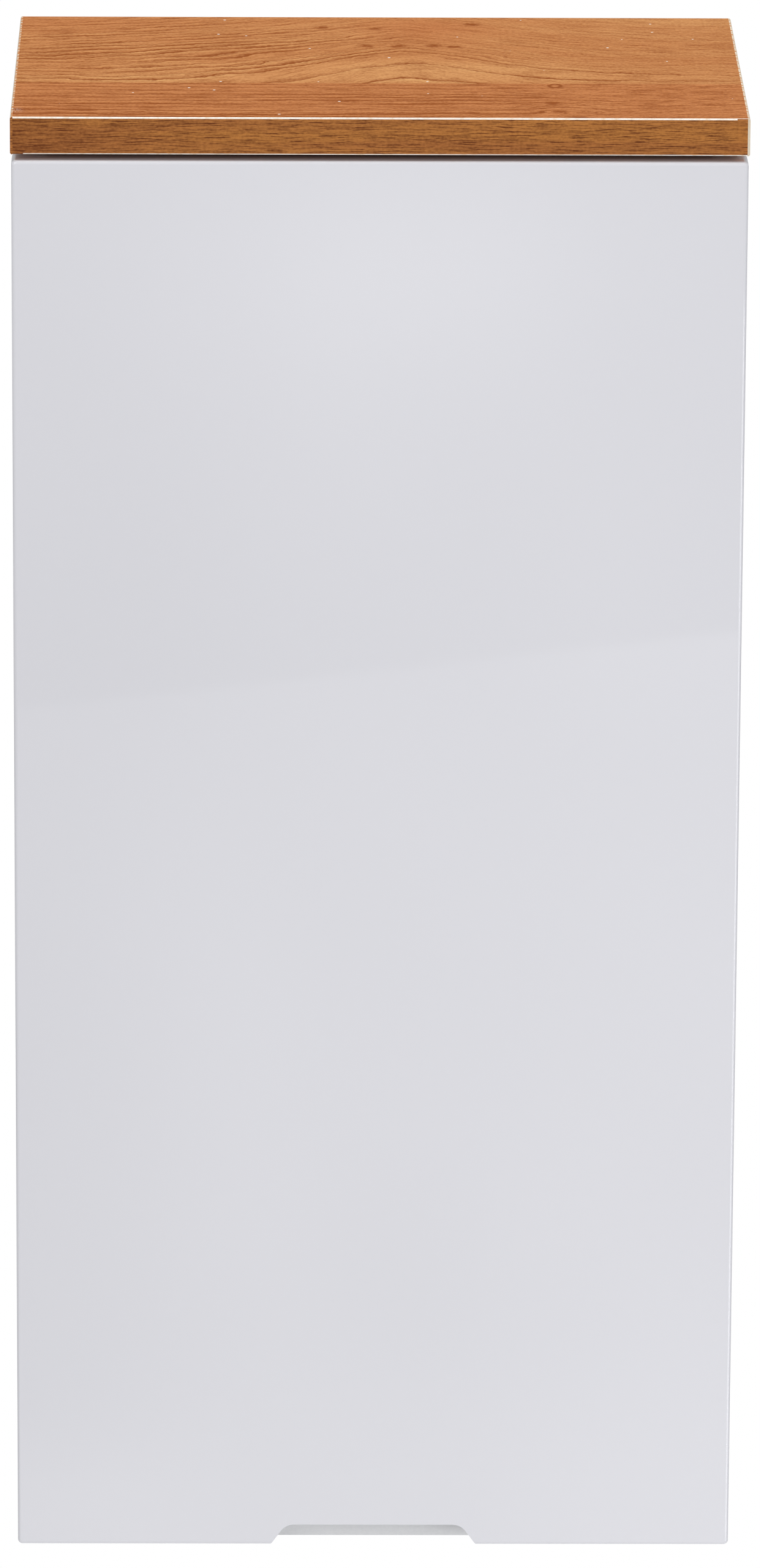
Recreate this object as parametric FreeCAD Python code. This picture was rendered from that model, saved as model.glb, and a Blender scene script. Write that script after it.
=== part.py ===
import FreeCAD
import Part
import os
from math import pi, hypot

# Wall cabinet with one left-hung door. Millimetres, x to the right, y to the wall, z up.
# Pieces are drawn with the wall plane at y = 0 and the underside at z = 0, and saved with
# the origin under the middle of the whole cabinet.

# outer sizes
width = 350.0
height = 720.0
depth = 225.0

# boards
top_thick = 18.0
side_thick = 16.0
bottom_thick = 16.0
door_thick = 18.0
back_thick = 3.0
shelf_thick = 16.0
side_reveal = 1.0
edging = 1.2
edging_round = 1.0
thin_edging = 0.5
thin_edging_round = 0.3

# door clearances
door_side_gap = 0.5
door_top_gap = 3.0
door_low_gap = 2.5
door_stand_off = 2.0
door_arris = 1.8
door_corner = 2.2
door_back_ease = 0.6

# finger pull in the door's lower edge
pull_foot = 101.0
pull_flat = 86.0
pull_rise = 10.5
pull_corner = 8.0
pull_bevel_rise = 6.5
pull_bevel_depth = 8.0

# back panel in its groove
back_inset = 18.0
groove_depth = 8.0
groove_play = 0.2

# shelves on pins, rows of holes at a fixed pitch
pitch = 32.0
first_hole = 84.0
front_row = 37.0
rear_row = 50.0
row_hole_r = 2.5
row_hole_depth = 10.0
shelf_shares = (0.348, 0.667)
row_spread = (-1, 0, 1)
shelf_side_play = 1.5
shelf_back_play = 1.5
shelf_set_back = 12.0
pin_fit = 0.05
pin_collar_r = 4.0
pin_collar = 1.0
pin_reach = 8.5
pin_plug = 8.0

# cam and dowel joints
cam_r = 7.5
cam_high = 11.4
cam_bore_depth = 12.5
cam_back = 24.0
cam_cap = 1.0
cam_pocket_r = 3.9
cam_slot = 1.6
cam_slot_deep = 1.2
cam_cross = 9.0
bolt_r = 2.4
bolt_thread = 10.8
bolt_thread_hole = 11.0
bolt_head_r = 3.5
bolt_head = 3.0
bolt_way_r = 4.0
dowel_r = 4.0
dowel_short = 10.0
dowel_long = 19.0
dowel_ease = 0.6
joint_play = 0.05
cam_from_wall = 85.0
cam_from_front = 27.0
dowel_from_cam = 16.0

# concealed hinges, their levels from the ends of the side panels
lower_hinge_rise = 100.0
upper_hinge_fall = 90.0
hinge_cup_inset = 20.5
cup_r = 17.5
cup_wall = 0.8
cup_depth = 12.0
cup_play = 0.1
flange_r = 19.5
flange_thick = 0.8
flange_trim = 1.0
ear_out = 6.0
ear_up = 24.0
ear_r = 4.5
cup_screw_r = 1.75
cup_screw_long = 10.0
cup_screw_head_r = 3.3
cup_screw_head = 1.6
drive_slot = 0.9
drive_deep = 0.7

# linkage pivots: arm pivots from the side panel's inner face and front edge
front_pivot = (23.4, 3.2)
rear_pivot = (31.0, 9.3)
# cup pivots from the door's hinge edge and back face
deep_pin = (9.1, 8.2)
near_pin = (10.0, 2.2)
# open eye of the rear link, off its cup pin by this much when shut
eye_off = (1.16, 0.72)
eye_half = 1.38
eye_play = 0.36
eye_wall = 0.84
pivot_r = 1.0
boss_r = 2.4
link_half = 1.4
front_link_bends = ((-6.4, -4.7), (-12.4, -10.0), (-17.9, -13.6), (-23.9, -14.1))
rear_link_bends = ((-5.0, 1.3), (-11.5, 0.1), (-17.5, -5.5), (-22.3, -12.3), (-27.5, -15.1), (-33.0, -14.5))
rung_at = (-4.6, 1.6)
rung_r = 1.2

# layers of the hinge, each from its middle plane outwards
core_layer = 3.0
layer_gap = 0.3
fork_layer = 1.4
bracket_layer = 1.2
rivet_head_r = 1.7
rivet_head = 0.5
lug_back = 4.4

# arm: a channel with a neck, and the plate it sits on
neck_r = 3.2
neck_end = (18.0, 24.0)
web_thick = 1.2
web_start = 2.0
arm_low = 6.0
arm_high = 17.0
arm_front = 21.0
arm_rear = 73.0
arm_round = 2.5
front_flare = 20.0
plate_base = 2.0
plate_block_high = 11.0
plate_block_front = 27.0
plate_block_rear = 69.0
plate_wing_up = 23.0
plate_wing_wide = 16.0
plate_round = 3.0
plate_screw_r = 2.45
plate_screw_long = 10.0
plate_screw_head_r = 4.2
plate_screw_head = 1.8
plate_screw_up = 16.0
block_play = 0.2
arm_screw_rows = (62.0, 46.0)
arm_screw_r = 2.0
arm_screw_head_r = 3.2
arm_screw_head = 1.4
arm_screw_bite = 4.0

# hangers in the rear upper corners, hooks over plates on the wall
hanger_wide = 18.0
hanger_front_block = 10.0
hanger_high = 44.0
hanger_top_gap = 3.0
hanger_gap = 0.4
hanger_round = 2.0
hanger_chamfer = 5.0
hanger_shoulder = 1.5
hanger_groove = 1.4
hanger_groove_deep = 0.7
hanger_groove_step = 4.0
hanger_groove_count = 4
hanger_groove_end = 9.0
hook_wide = 12.0
hook_thick = 3.0
hook_drop = 4.0
hook_tip = 2.2
hook_tip_gap = 1.2
hook_tip_fall = 9.0
hook_bend = 1.4
hook_length = 34.0
hook_play = 0.3
window_play = 2.0
wall_plate_wide = 34.0
wall_plate_thick = 2.0
wall_plate_low = 68.0
wall_plate_joggle = 6.0
wall_plate_lip = 16.0
wall_hole_r = 3.0
wall_hole_fall = (40.0, 64.0)
wall_plate_round = 3.0
hanger_screw_r = 3.0
hanger_screw_stub = 1.5
hanger_screw_rise = (12.0, 30.0)
fixing_r = 1.9
fixing_head_r = 3.4
fixing_head = 2.0
fixing_long = 12.0
fixing_rise = (9.0, 35.0)
fixing_from_hook = 2.0

# soft buffers on the door's closing corners
buffer_r = 4.5
buffer_ease = 0.6
buffer_inset = 60.0
buffer_play = 0.05

# two positions closer than this count as one
tolerance = 1e-6

# derived positions
half_width = width / 2
top_low = height - top_thick
side_out = half_width - side_reveal
side_in = side_out - side_thick
door_half = half_width - door_side_gap
door_front = -depth
door_back = door_front + door_thick
carcass_front = door_back + door_stand_off
door_low = door_low_gap
door_high = top_low - door_top_gap
back_front = -back_inset - back_thick
row_y = {"front": carcass_front + front_row, "rear": -rear_row}
hinge_levels = (lower_hinge_rise, top_low - upper_hinge_fall)
shelf_steps = tuple(round((top_low * share - first_hole) / pitch) for share in shelf_shares)
cam_rows = (-cam_from_wall, carcass_front + cam_from_front)
dowel_rows = (dowel_from_cam - cam_from_wall, (carcass_front + cam_from_front - cam_from_wall) / 2)
cup_x = -door_half + hinge_cup_inset
hook_x = -side_in + hanger_wide / 2
# dowels run in the middle of the sides, bolts where their cams hold them
bolt_line = side_out - side_thick / 2
cam_bolt_height = cam_bore_depth - bottom_thick / 2
cam_bolt_line = side_in + cam_bore_depth - cam_bolt_height
hook_high = top_low - hanger_top_gap - hook_drop
lip_high = hook_high - hook_thick
plate_x = side_in - hanger_gap - wall_plate_wide / 2 - window_play
hanger_rear = back_front - hanger_gap
hanger_front = hanger_rear - hook_length - hanger_front_block
fixing_y = hanger_rear - hook_length - fixing_from_hook

fork_in = core_layer + layer_gap
fork_out = fork_in + fork_layer
bracket_in = fork_out + layer_gap
bracket_out = bracket_in + bracket_layer

pivot_b = (-side_in + front_pivot[0], carcass_front + front_pivot[1])
pivot_a = (-side_in + rear_pivot[0], carcass_front + rear_pivot[1])
pivot_d = (-door_half + deep_pin[0], door_back - deep_pin[1])
pivot_c = (-door_half + near_pin[0], door_back - near_pin[1])
eye_mid = (pivot_c[0] + eye_off[0], pivot_c[1] + eye_off[1])

X = FreeCAD.Vector(1, 0, 0)
Y = FreeCAD.Vector(0, 1, 0)
Z = FreeCAD.Vector(0, 0, 1)


def vec(x, y, z=0.0):
    return FreeCAD.Vector(x, y, z)


def box(x0, x1, y0, y1, z0, z1):
    corner = vec(min(x0, x1), min(y0, y1), min(z0, z1))
    return Part.makeBox(abs(x1 - x0), abs(y1 - y0), abs(z1 - z0), corner)


def rod(radius, start, axis, length):
    return Part.makeCylinder(radius, length, start, axis)


def prism(points, low, high):
    corners = [vec(x, y, low) for x, y in points]
    return Part.Face(Part.makePolygon(corners + corners[:1])).extrude(Z * (high - low))


def capsule(start, end, radius, low, high):
    """A straight plate rounded at both ends."""
    reach = hypot(end[0] - start[0], end[1] - start[1])
    side = ((start[1] - end[1]) / reach * radius, (end[0] - start[0]) / reach * radius)
    plate = prism([(start[0] + side[0], start[1] + side[1]), (end[0] + side[0], end[1] + side[1]),
                   (end[0] - side[0], end[1] - side[1]), (start[0] - side[0], start[1] - side[1])], low, high)
    for point in (start, end):
        plate = plate.fuse(rod(radius, vec(point[0], point[1], low), Z, high - low))
    return plate.removeSplitter()


def strip(points, radius, low, high):
    """A plate following a bent line, rounded at both ends."""
    line = Part.makePolygon([vec(x, y, low) for x, y in points])
    outline = line.makeOffset2D(radius, 0, False, False, False)
    return Part.Face(outline).extrude(Z * (high - low))


def mirrored(shape):
    return shape.mirror(vec(0, 0), X)


def both_sides(shape):
    return [shape, mirrored(shape)]


def along(edge, axis):
    return edge.tangentAt(edge.FirstParameter).cross(axis).Length < tolerance


def eased(shape, radius, axis, test):
    """Round the straight edges along an axis whose middle passes a test."""
    edges = [e for e in shape.Edges if along(e, axis) and test(e.CenterOfMass)]
    return shape.makeFillet(radius, edges)


def near(value, target):
    return abs(value - target) < tolerance


def save(name, shapes):
    solids = shapes if isinstance(shapes, list) else [shapes]
    shape = solids[0] if len(solids) == 1 else Part.makeCompound(solids)
    shape = shape.translated(Y * (depth / 2))
    shape.exportStep(os.path.join("parts", name + ".step"))


# carcass

def top_board():
    core = box(-half_width + edging, half_width - edging, door_front + edging, 0, top_low, height)
    groove = box(-side_in - groove_depth, side_in + groove_depth, back_front - groove_play / 2,
                 -back_inset + groove_play / 2, top_low, top_low + groove_depth)
    core = core.cut(groove)
    for y in cam_rows:
        for x in (-bolt_line, bolt_line):
            core = core.cut(rod(row_hole_r, vec(x, y, top_low), Z, bolt_thread_hole))
    for y in dowel_rows:
        for x in (-bolt_line, bolt_line):
            core = core.cut(rod(dowel_r, vec(x, y, top_low), Z, dowel_short + dowel_ease))
    return core


def edge_strip(x0, x1, y0, y1, z0, z1, axis, test):
    return eased(box(x0, x1, y0, y1, z0, z1), edging_round, axis, test)


def thin_strip(x0, x1, front, z0, z1, axis):
    """Thin front edging with both front arrises rounded."""
    blank = box(x0, x1, front, front + thin_edging, z0, z1)
    return eased(blank, thin_edging_round, axis, lambda c: near(c.y, front))


def side_panel():
    """The left side panel; the right one has the same holes bar the hinge plates'."""
    panel = box(-side_out, -side_in, carcass_front + thin_edging, 0, 0, top_low)
    groove = box(-side_in - groove_depth, -side_in, back_front - groove_play / 2,
                 -back_inset + groove_play / 2, bottom_thick - groove_depth, top_low)
    panel = panel.cut(groove)
    for step in shelf_steps:
        for extra in row_spread:
            level = first_hole + (step + extra) * pitch
            for y in row_y.values():
                panel = panel.cut(rod(row_hole_r, vec(-side_in, y, level), -X, row_hole_depth))
    for y in cam_rows:
        middle = vec(-side_in, y, top_low - cam_back)
        panel = panel.cut(rod(cam_r + joint_play, middle, -X, cam_bore_depth))
        panel = panel.cut(rod(bolt_way_r, vec(-bolt_line, y, top_low), -Z, cam_back))
        panel = panel.cut(rod(row_hole_r, vec(-side_in, y, bottom_thick / 2), -X, bolt_thread_hole))
    for y in dowel_rows:
        panel = panel.cut(rod(dowel_r, vec(-bolt_line, y, top_low), -Z, dowel_long + dowel_ease))
        panel = panel.cut(rod(dowel_r, vec(-side_in, y, bottom_thick / 2), -X, dowel_short + dowel_ease))
    for z in hanger_fixings():
        panel = panel.cut(rod(fixing_r + joint_play, vec(-side_in, fixing_y, z), -X, fixing_long))
    return panel


def hanger_fixings():
    low = top_low - hanger_top_gap - hanger_high
    return [low + rise for rise in fixing_rise]


def with_plate_holes(panel):
    for level in hinge_levels:
        for up in (-plate_screw_up, plate_screw_up):
            start = vec(-side_in, row_y["front"], level + up)
            panel = panel.cut(rod(row_hole_r, start, -X, bolt_thread_hole))
    return panel


def bottom_panel():
    panel = box(-side_in, side_in, carcass_front + thin_edging, 0, 0, bottom_thick)
    groove = box(-side_in, side_in, back_front - groove_play / 2, -back_inset + groove_play / 2,
                 bottom_thick - groove_depth, bottom_thick)
    panel = panel.cut(groove)
    middle = bottom_thick / 2
    for sign in (-1, 1):
        for y in cam_rows:
            edge = vec(sign * side_in, y, middle)
            centre = vec(sign * (side_in - cam_back), y, 0)
            panel = panel.cut(rod(cam_r + joint_play, centre, Z, cam_bore_depth))
            panel = panel.cut(rod(bolt_way_r, edge, X * -sign, cam_back))
        for y in dowel_rows:
            edge = vec(sign * side_in, y, middle)
            panel = panel.cut(rod(dowel_r, edge, X * -sign, dowel_long + dowel_ease))
    return panel


def back_panel():
    reach = side_in + groove_depth - groove_play
    panel = box(-reach, reach, back_front, -back_inset, bottom_thick - groove_depth + groove_play,
                top_low + groove_depth - groove_play)
    for sign in (-1, 1):
        middle = sign * hook_x
        window = box(middle - hook_wide / 2 - window_play, middle + hook_wide / 2 + window_play,
                     back_front, -back_inset, lip_high - window_play, hook_high + window_play)
        panel = panel.cut(window)
    return panel


# cams, bolts and dowels

def cam_lock():
    """A cam standing on the origin with its worked face up and the bolt coming along +x."""
    body = rod(cam_r, vec(0, 0), Z, cam_high)
    way = rod(cam_pocket_r, vec(-bolt_head - joint_play, 0, cam_bolt_height), X, cam_r + bolt_head + cam_r)
    body = body.cut(way)
    for half_x, half_y in ((cam_cross / 2, cam_slot / 2), (cam_slot / 2, cam_cross / 2)):
        body = body.cut(box(-half_x, half_x, -half_y, half_y, cam_high - cam_slot_deep, cam_high))
    return body


def cam_bolt():
    """A bolt along x: the head on the origin, the thread at the far end."""
    shank = rod(bolt_r, vec(0, 0), X, cam_back + bolt_thread)
    head = rod(bolt_head_r, vec(-bolt_head / 2, 0), X, bolt_head)
    return shank.fuse(head).removeSplitter()


def dowel():
    body = rod(dowel_r - joint_play, vec(-dowel_long, 0), X, dowel_long + dowel_short)
    ends = [e for e in body.Edges if e.Length < pi * 2 * dowel_r and not along_line(e)]
    return body.makeChamfer(dowel_ease, ends)


def along_line(edge):
    return edge.Curve.TypeId == "Part::GeomLine"


def place(shape, origin, x_to, z_to):
    """Move a shape built at the origin so its x and z axes point as asked."""
    y_to = z_to.cross(x_to)
    grid = FreeCAD.Matrix(x_to.x, y_to.x, z_to.x, origin.x, x_to.y, y_to.y, z_to.y, origin.y,
                          x_to.z, y_to.z, z_to.z, origin.z, 0, 0, 0, 1)
    moved = shape.copy()
    moved.Placement = FreeCAD.Placement(grid)
    return moved


def top_joint_frames(rows):
    for sign in (-1, 1):
        for y in rows:
            yield sign, y


def cams_top():
    cams = []
    caps = []
    bolts = []
    for sign, y in top_joint_frames(cam_rows):
        level = top_low - cam_back
        foot = vec(sign * (side_in + cam_bore_depth), y, level)
        inward = X * -sign
        cams.append(place(cam_lock(), foot, Z, inward))
        lid = vec(sign * (side_in + cam_cap), y, level)
        caps.append(rod(cam_r - joint_play, lid, inward, cam_cap))
        bolts.append(place(cam_bolt(), vec(sign * cam_bolt_line, y, level), Z, inward))
    return cams, caps, bolts


def cams_bottom():
    cams = []
    caps = []
    bolts = []
    for sign, y in top_joint_frames(cam_rows):
        x = sign * (side_in - cam_back)
        outward = X * sign
        cams.append(place(cam_lock(), vec(x, y, cam_bore_depth), outward, -Z))
        caps.append(rod(cam_r - joint_play, vec(x, y, 0), Z, cam_cap))
        bolts.append(place(cam_bolt(), vec(x, y, bottom_thick / 2), outward, -Z))
    return cams, caps, bolts


def dowels_top():
    return [place(dowel(), vec(sign * bolt_line, y, top_low), Z, X)
            for sign, y in top_joint_frames(dowel_rows)]


def dowels_bottom():
    return [place(dowel(), vec(sign * side_in, y, bottom_thick / 2), X * sign, Z)
            for sign, y in top_joint_frames(dowel_rows)]


# shelves

def shelf_level(step):
    return first_hole + step * pitch + row_hole_r - pin_fit


def shelf(step):
    low = shelf_level(step)
    half = side_in - shelf_side_play
    front = carcass_front + shelf_set_back
    board = box(-half, half, front + thin_edging, back_front - shelf_back_play, low, low + shelf_thick)
    strip_front = thin_strip(-half, half, front, low, low + shelf_thick, X)
    return board, strip_front


def shelf_pins(step):
    level = first_hole + step * pitch
    radius = row_hole_r - pin_fit
    pins = []
    for y in row_y.values():
        plug = rod(radius, vec(-side_in - pin_plug, y, level), X, pin_plug + pin_reach)
        collar = rod(pin_collar_r, vec(-side_in, y, level), X, pin_collar)
        pins += both_sides(plug.fuse(collar).removeSplitter())
    return pins


# door

def pull_outline(foot, flat, rise, corner, y):
    """Finger pull opening as a wire, drawn below the door's edge so the cut runs clean through."""
    slope = (foot - flat) / 2 / rise
    low = door_low - rise
    points = [(-foot / 2 - slope * rise, low), (-flat / 2, door_low + rise),
              (flat / 2, door_low + rise), (foot / 2 + slope * rise, low)]
    corners = [vec(x, y, z) for x, z in points]
    face = Part.Face(Part.makePolygon(corners + corners[:1]))
    block = face.extrude(Y * door_thick)
    uppers = [e for e in block.Edges if along(e, Y) and near(e.CenterOfMass.z, door_low + rise)]
    return block.makeFillet(corner, uppers)


def door_blank():
    blank = box(-door_half, door_half, door_front, door_back, door_low, door_high)
    blank = eased(blank, door_corner, Y, lambda c: True)
    blank = blank.cut(pull_outline(pull_foot, pull_flat, pull_rise, pull_corner, door_front))
    blank = blank.makeFillet(door_arris, outer_edges(blank, door_front))
    return blank.makeChamfer(door_back_ease, outer_edges(blank, door_back))


def outer_edges(blank, y):
    """Edges round the door's front or back face, without the finger pull's."""
    face = [f for f in blank.Faces if near(f.CenterOfMass.y, y)][0]
    return [e for e in face.Edges if not in_pull(e)]


def in_pull(edge):
    middle = edge.CenterOfMass
    return abs(middle.x) < pull_foot / 2 and middle.z < door_low + pull_rise + pull_corner


def pull_bevel():
    """Hollow behind the lip: taller and wider towards the back of the door."""
    wires = []
    for grow, y in ((0, door_back - pull_bevel_depth), (pull_bevel_rise, door_back)):
        half_foot = pull_foot / 2
        half_flat = pull_flat / 2 - pull_corner / 2
        z_top = door_low + pull_rise + grow
        points = [(-half_foot - grow, door_low - pull_rise), (-half_foot - grow, door_low),
                  (-half_flat - grow, z_top), (half_flat + grow, z_top),
                  (half_foot + grow, door_low), (half_foot + grow, door_low - pull_rise)]
        corners = [vec(x, y, z) for x, z in points]
        wires.append(Part.makePolygon(corners + corners[:1]))
    return Part.makeLoft(wires, True, True)


def door_panel():
    door = door_blank().cut(pull_bevel())
    for level in hinge_levels:
        bore = rod(cup_r + joint_play, vec(cup_x, door_back, level), -Y, cup_depth + cup_play)
        door = door.cut(bore)
        for x, z in ear_holes(level):
            door = door.cut(rod(cup_screw_r + joint_play, vec(x, door_back, z), -Y, cup_screw_long))
    return door


def ear_holes(level):
    return [(cup_x + ear_out, level - ear_up), (cup_x + ear_out, level + ear_up)]


def door_buffers():
    long = door_stand_off - buffer_play
    x = side_in + side_thick / 2
    dots = []
    for z in (door_low + buffer_inset, door_high - buffer_inset):
        dot = rod(buffer_r, vec(x, door_back, z), Y, long)
        rim = [e for e in dot.Edges if near(e.CenterOfMass.y, door_back + long)]
        dots.append(dot.makeFillet(buffer_ease, rim))
    return dots


# hinge pieces, drawn at level zero and lifted afterwards

def bar(point, radius, low, high):
    return rod(radius, vec(point[0], point[1], low), Z, high - low)


def hinge_cup():
    middle = vec(cup_x, door_back, 0)
    body = rod(cup_r, middle, -Y, cup_depth)
    flange = rod(flange_r, middle, Y, flange_thick)
    ear_x = cup_x + ear_out
    ears = box(ear_x - ear_r, ear_x + ear_r, door_back, door_back + flange_thick, -ear_up, ear_up)
    for _, z in ear_holes(0):
        ears = ears.fuse(rod(ear_r, vec(ear_x, door_back, z), Y, flange_thick))
    body = body.fuse(flange).fuse(ears)
    edge = -door_half + flange_trim
    body = body.cut(box(edge - flange_r, edge, door_back, door_back + flange_thick, -flange_r, flange_r))
    hollow = rod(cup_r - cup_wall, middle + Y * flange_thick, -Y, cup_depth + flange_thick - cup_wall)
    body = body.cut(hollow)
    for x, z in ear_holes(0):
        body = body.cut(rod(cup_screw_r + joint_play * 2, vec(x, door_back, z), Y, flange_thick))
    cheek = box(-door_half, pivot_d[0] + lug_back, door_back, door_back - cup_depth + cup_wall / 2,
                bracket_in, bracket_out)
    inside = rod(cup_r - cup_wall / 2, middle, -Y, cup_depth)
    cheek = cheek.common(inside)
    for low in (bracket_in, -bracket_out):
        body = body.fuse(cheek.translated(Z * (low - bracket_in)))
    for point in (pivot_c, pivot_d):
        body = body.cut(bar(point, pivot_r, -bracket_out, bracket_out))
    return body.removeSplitter()


def cup_pins():
    deep = bar(pivot_d, pivot_r, -bracket_out, bracket_out)
    stubs = [bar(pivot_c, pivot_r, fork_in - layer_gap / 2, bracket_out),
             bar(pivot_c, pivot_r, -bracket_out, -fork_in + layer_gap / 2)]
    return [deep] + stubs


def cup_screws(level):
    screws = []
    for x, z in ear_holes(level):
        shank = rod(cup_screw_r, vec(x, door_back + flange_thick, z), -Y, cup_screw_long)
        head = rod(cup_screw_head_r, vec(x, door_back + flange_thick, z), Y, cup_screw_head)
        top = door_back + flange_thick + cup_screw_head
        rim = [e for e in head.Edges if near(e.CenterOfMass.y, top)]
        head = head.makeFillet(drive_deep, rim)
        cross = cross_slot(vec(x, top, z), cup_screw_head_r)
        screws.append(shank.fuse(head).removeSplitter().cut(cross))
    return screws


def cross_slot(middle, radius):
    """Cross recess facing +y at a point."""
    reach = radius - drive_slot
    return box(middle.x - reach, middle.x + reach, middle.y - drive_deep, middle.y,
               middle.z - drive_slot / 2, middle.z + drive_slot / 2).fuse(
        box(middle.x - drive_slot / 2, middle.x + drive_slot / 2, middle.y - drive_deep, middle.y,
            middle.z - reach, middle.z + reach))


def front_link():
    points = [pivot_b] + [(pivot_b[0] + dx, pivot_b[1] + dy) for dx, dy in front_link_bends] + [pivot_d]
    link = strip(points, link_half, -core_layer, core_layer)
    for point in (pivot_b, pivot_d):
        link = link.fuse(bar(point, boss_r, -core_layer, core_layer))
    for point in (pivot_b, pivot_d):
        link = link.cut(bar(point, pivot_r + joint_play, -core_layer, core_layer))
    return link.removeSplitter()


def rear_link():
    """A forked link: two cheeks and a rung; its cup ends are long eyes."""
    points = [pivot_a] + [(pivot_a[0] + dx, pivot_a[1] + dy) for dx, dy in rear_link_bends] + [eye_mid]
    reach = hypot(pivot_c[0] - pivot_a[0], pivot_c[1] - pivot_a[1])
    way = ((pivot_c[0] - pivot_a[0]) / reach, (pivot_c[1] - pivot_a[1]) / reach)
    ends = [(eye_mid[0] + way[0] * step, eye_mid[1] + way[1] * step) for step in (-eye_half, eye_half)]
    slot_r = pivot_r + eye_play
    cheek = strip(points, link_half, fork_in, fork_out)
    cheek = cheek.fuse(bar(pivot_a, boss_r, fork_in, fork_out))
    cheek = cheek.fuse(capsule(ends[0], ends[1], slot_r + eye_wall, fork_in, fork_out))
    cheek = cheek.cut(capsule(ends[0], ends[1], slot_r, fork_in, fork_out))
    cheek = cheek.cut(bar(pivot_a, pivot_r + joint_play, fork_in, fork_out))
    other = cheek.mirror(vec(0, 0), Z)
    rung = bar((pivot_a[0] + rung_at[0], pivot_a[1] + rung_at[1]), rung_r, -fork_out, fork_out)
    return cheek.fuse(other).fuse(rung).removeSplitter()


def hinge_arm():
    neck = (-side_in + neck_end[0], carcass_front + neck_end[1])
    low = -side_in + arm_low
    high = -side_in + arm_high
    front = carcass_front + arm_front
    rear = carcass_front + arm_rear
    head = capsule(pivot_b, pivot_a, boss_r, -bracket_out, bracket_out)
    throat = capsule(pivot_a, neck, neck_r, -bracket_out, bracket_out)
    beam = box(low, high, front, rear, -bracket_out, bracket_out)
    beam = eased(beam, arm_round, X, lambda c: near(c.y, rear))
    body = head.fuse(throat).fuse(beam)
    # the hollow between the cheeks lies to the left of the web
    reach = hypot(neck[0] - pivot_a[0], neck[1] - pivot_a[1])
    way = ((neck[0] - pivot_a[0]) / reach, (neck[1] - pivot_a[1]) / reach)
    side = (way[1], -way[0])
    inner = neck_r - web_thick
    start = (pivot_a[0] + way[0] * web_start + side[0] * inner,
             pivot_a[1] + way[1] * web_start + side[1] * inner)
    turn = (neck[0] + side[0] * inner, neck[1] + side[1] * inner)
    web = high - web_thick
    right = pivot_a[0] + front_flare
    left = -side_out
    bend = turn[1] + (turn[0] - web) * way[1] / -way[0]
    hollow = prism([(left, door_front), (right, door_front), (right, start[1]), start, (web, bend),
                    (web, 0), (left, 0)], -bracket_in, bracket_in)
    body = body.cut(hollow)
    for point in (pivot_a, pivot_b):
        body = body.cut(bar(point, pivot_r, -bracket_out, bracket_out))
    for row in arm_screw_rows:
        y = carcass_front + row
        body = body.cut(rod(arm_screw_r + joint_play, vec(web, y, 0), X, web_thick))
    return body.removeSplitter()


def arm_pins():
    pins = []
    for point in (pivot_a, pivot_b):
        pin = bar(point, pivot_r, -bracket_out - rivet_head, bracket_out + rivet_head)
        for low in (-bracket_out - rivet_head, bracket_out):
            pin = pin.fuse(bar(point, rivet_head_r, low, low + rivet_head))
        pins.append(pin.removeSplitter())
    return pins


def hinge_plate():
    inner = -side_in
    top = inner + plate_base
    front = carcass_front + plate_block_front
    rear = carcass_front + plate_block_rear
    wing_front = row_y["front"] - plate_wing_wide / 2
    wing_rear = row_y["front"] + plate_wing_wide / 2
    tongue = box(inner, top, front, rear, -bracket_out, bracket_out)
    tongue = eased(tongue, plate_round, X, lambda c: True)
    wing = box(inner, top, wing_front, wing_rear, -plate_wing_up, plate_wing_up)
    wing = eased(wing, plate_round, X, lambda c: True)
    block_top = inner + plate_block_high
    block = box(inner, block_top, front, rear, -bracket_in + block_play, bracket_in - block_play)
    block = eased(block, plate_round, Z, lambda c: near(c.x, block_top))
    body = tongue.fuse(wing).fuse(block)
    for z in (-plate_screw_up, plate_screw_up):
        body = body.cut(rod(row_hole_r + joint_play, vec(inner, row_y["front"], z), X, plate_base))
    for row in arm_screw_rows:
        tip = vec(block_top - arm_screw_bite, carcass_front + row, 0)
        body = body.cut(rod(arm_screw_r + joint_play, tip, X, arm_screw_bite))
    return body.removeSplitter()


def headed_screw(face, radius, length, head_r, head):
    """A screw along x with its head above the face x, the shank running to the left."""
    shank = rod(radius, face, -X, length)
    cap = rod(head_r, face, X, head)
    rim = [e for e in cap.Edges if near(e.CenterOfMass.x, face.x + head)]
    cap = cap.makeFillet(drive_deep, rim)
    reach = head_r - drive_slot
    x0 = face.x + head - drive_deep
    x1 = face.x + head
    cross = box(x0, x1, face.y - reach, face.y + reach, face.z - drive_slot / 2, face.z + drive_slot / 2)
    cross = cross.fuse(box(x0, x1, face.y - drive_slot / 2, face.y + drive_slot / 2,
                           face.z - reach, face.z + reach))
    return shank.fuse(cap).removeSplitter().cut(cross)


def plate_screws(level):
    face = -side_in + plate_base
    return [headed_screw(vec(face, row_y["front"], level + up), plate_screw_r, plate_screw_long,
                         plate_screw_head_r, plate_screw_head) for up in (-plate_screw_up, plate_screw_up)]


def arm_screws(level):
    face = -side_in + arm_high
    long = arm_high - plate_block_high + arm_screw_bite - joint_play
    return [headed_screw(vec(face, carcass_front + row, level), arm_screw_r, long,
                         arm_screw_head_r, arm_screw_head) for row in arm_screw_rows]


def lifted(shape, level):
    if isinstance(shape, list):
        return [item.translated(Z * level) for item in shape]
    return shape.translated(Z * level)


# hangers

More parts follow.
